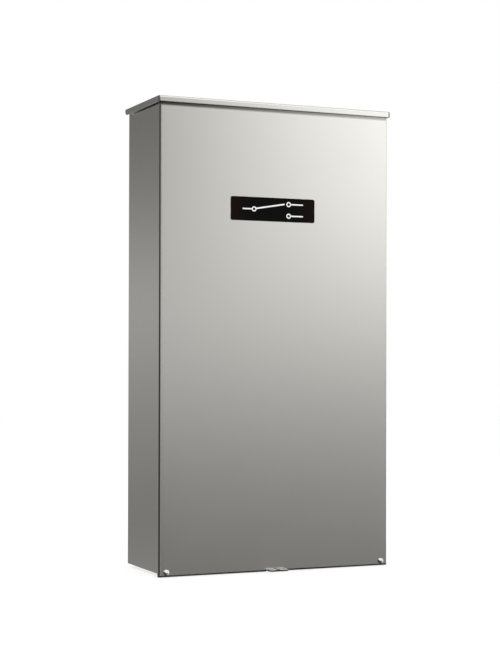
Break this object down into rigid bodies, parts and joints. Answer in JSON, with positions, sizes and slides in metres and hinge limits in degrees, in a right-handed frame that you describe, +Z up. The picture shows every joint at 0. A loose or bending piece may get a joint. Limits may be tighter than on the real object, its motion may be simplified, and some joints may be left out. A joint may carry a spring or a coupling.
{
  "type": "automatic transfer switch",
  "caption": "Wall-mounted sheet-metal enclosure with rain hood and hook-on front cover, holding a main breaker, transfer mechanism and controls.",
  "frame": {"origin": "centre of the enclosure's flat back face, on the wall", "axes": "+X to the right seen from the front, +Y into the wall, +Z up"},
  "size_m": [0.4154, 0.1722, 0.7646],
  "materials": {
    "sheet_metal": "satin, fine grain",
    "zinc": "zinc plated",
    "screw": "bright plated",
    "foam": "closed-cell foam",
    "badge": "semi-gloss black",
    "black_plastic": "moulded black",
    "handle_plastic": "moulded black",
    "alloy": "tin-plated",
    "copper": "bare copper",
    "phenolic": "laminated board",
    "steel": "plated steel",
    "housing": "moulded off-white",
    "coil_tape": "wrapped tape",
    "lever": "spring steel",
    "ceramic": "fuse tube",
    "red_plastic": "moulded red",
    "grip": "moulded grip on steel rod"
  },
  "bodies": {
    "enclosure": {"enclosure_body": "sheet_metal", "hood": "sheet_metal", "bottom_panel": "sheet_metal", "header_rail": "sheet_metal", "padlock_tab": "sheet_metal", "clip_nut_left": "zinc", "clip_nut_right": "zinc", "breaker_bracket": "zinc", "handle_clips": "zinc", "breaker_case": "black_plastic", "limit_switch_utility": "black_plastic", "limit_switch_standby": "black_plastic", "neutral_insulator": "black_plastic", "control_terminal_strip": "black_plastic", "fuse_block": "black_plastic", "load_shed_controller": "black_plastic", "line_lug_left": "alloy", "line_lug_right": "alloy", "standby_lug_left": "alloy", "standby_lug_right": "alloy", "load_lug_left": "alloy", "load_lug_right": "alloy", "neutral_bar": "alloy", "ground_bar": "alloy", "busbar_utility_left": "copper", "busbar_utility_right": "copper", "utility_contact_left": "copper", "utility_contact_right": "copper", "standby_contact_left": "copper", "standby_contact_right": "copper", "load_bar_left": "copper", "load_bar_right": "copper", "bonding_strap": "copper", "switch_base": "phenolic", "side_plate_left": "steel", "side_plate_right": "steel", "solenoid_frame_utility": "steel", "solenoid_frame_standby": "steel", "pole_case_left": "housing", "pole_case_right": "housing", "solenoid_coil_utility": "coil_tape", "solenoid_coil_standby": "coil_tape", "fuse_1": "ceramic", "fuse_2": "ceramic", "fuse_3": "ceramic"},
    "cover": {"front_cover": "sheet_metal", "cover_gasket": "foam", "badge_plate": "badge"},
    "cover_screw_left": {"cover_screw_left": "screw"},
    "cover_screw_right": {"cover_screw_right": "screw"},
    "breaker_handle": {"breaker_handle": "handle_plastic"},
    "transfer_shaft": {"transfer_shaft": "steel", "moving_contact_left": "copper", "moving_contact_right": "copper"},
    "plunger_utility": {"plunger_utility": "steel"},
    "plunger_standby": {"plunger_standby": "steel"},
    "limit_lever_utility": {"limit_lever_utility": "lever"},
    "limit_lever_standby": {"limit_lever_standby": "lever"},
    "test_button": {"test_button": "red_plastic"},
    "manual_handle": {"manual_handle": "grip"}
  },
  "joints": [
    {"name": "cover_swing", "type": "hinge", "parent": "enclosure", "child": "cover", "pos_m": [0, -0.1605, 0.36975], "axis": [-1, 0, 0], "range_deg": [0, 75], "stiffness_Nm_per_rad": 1.5, "springref_deg": -17.19},
    {"name": "cover_screw_left_out", "type": "slide", "parent": "cover", "child": "cover_screw_left", "axis": [0, -1, 0], "range_m": [0, 0.008]},
    {"name": "cover_screw_right_out", "type": "slide", "parent": "cover", "child": "cover_screw_right", "axis": [0, -1, 0], "range_m": [0, 0.008]},
    {"name": "breaker_handle_throw", "type": "hinge", "parent": "enclosure", "child": "breaker_handle", "pos_m": [0, -0.084, 0.24775], "axis": [1, 0, 0], "range_deg": [0, 40], "stiffness_Nm_per_rad": 0.02, "springref_deg": -34.38},
    {"name": "transfer_shaft_turn", "type": "hinge", "parent": "enclosure", "child": "transfer_shaft", "pos_m": [0, -0.062, 0.01275], "axis": [1, 0, 0], "range_deg": [0, 34], "stiffness_Nm_per_rad": 0.6, "springref_deg": -57.3},
    {"name": "plunger_utility_travel", "type": "slide", "parent": "enclosure", "child": "plunger_utility", "axis": [0, 0, -1], "range_m": [0, 0.0165], "stiffness_N_per_m": 60, "springref_m": -0.03},
    {"name": "plunger_standby_travel", "type": "slide", "parent": "enclosure", "child": "plunger_standby", "axis": [0, 0, -1], "range_m": [0, 0.0165], "stiffness_N_per_m": 60, "springref_m": -0.03},
    {"name": "limit_lever_utility_pivot", "type": "hinge", "parent": "enclosure", "child": "limit_lever_utility", "pos_m": [0.065, -0.049, 0.03235], "axis": [1, 0, 0], "range_deg": [0, 8.01]},
    {"name": "limit_lever_standby_pivot", "type": "hinge", "parent": "enclosure", "child": "limit_lever_standby", "pos_m": [0.065, -0.049, -0.00685], "axis": [1, 0, 0], "range_deg": [0, 8.01]},
    {"name": "test_button_press", "type": "slide", "parent": "enclosure", "child": "test_button", "axis": [0, 1, 0], "range_m": [0, 0.0012], "stiffness_N_per_m": 250, "springref_m": -0.0005},
    {"name": "manual_handle_lift", "type": "slide", "parent": "enclosure", "child": "manual_handle", "axis": [0, -1, 0], "range_m": [0, 0.045]}
  ],
  "couplings": [
    {"joint": "plunger_utility_travel", "follows": "transfer_shaft_turn", "m_per_rad": 0.027591},
    {"joint": "plunger_standby_travel", "follows": "transfer_shaft_turn", "m_per_rad": 0.027591},
    {"joint": "limit_lever_utility_pivot", "follows": "transfer_shaft_turn", "ratio": 0.2353},
    {"joint": "limit_lever_standby_pivot", "follows": "transfer_shaft_turn", "ratio": 0.2353}
  ]
}
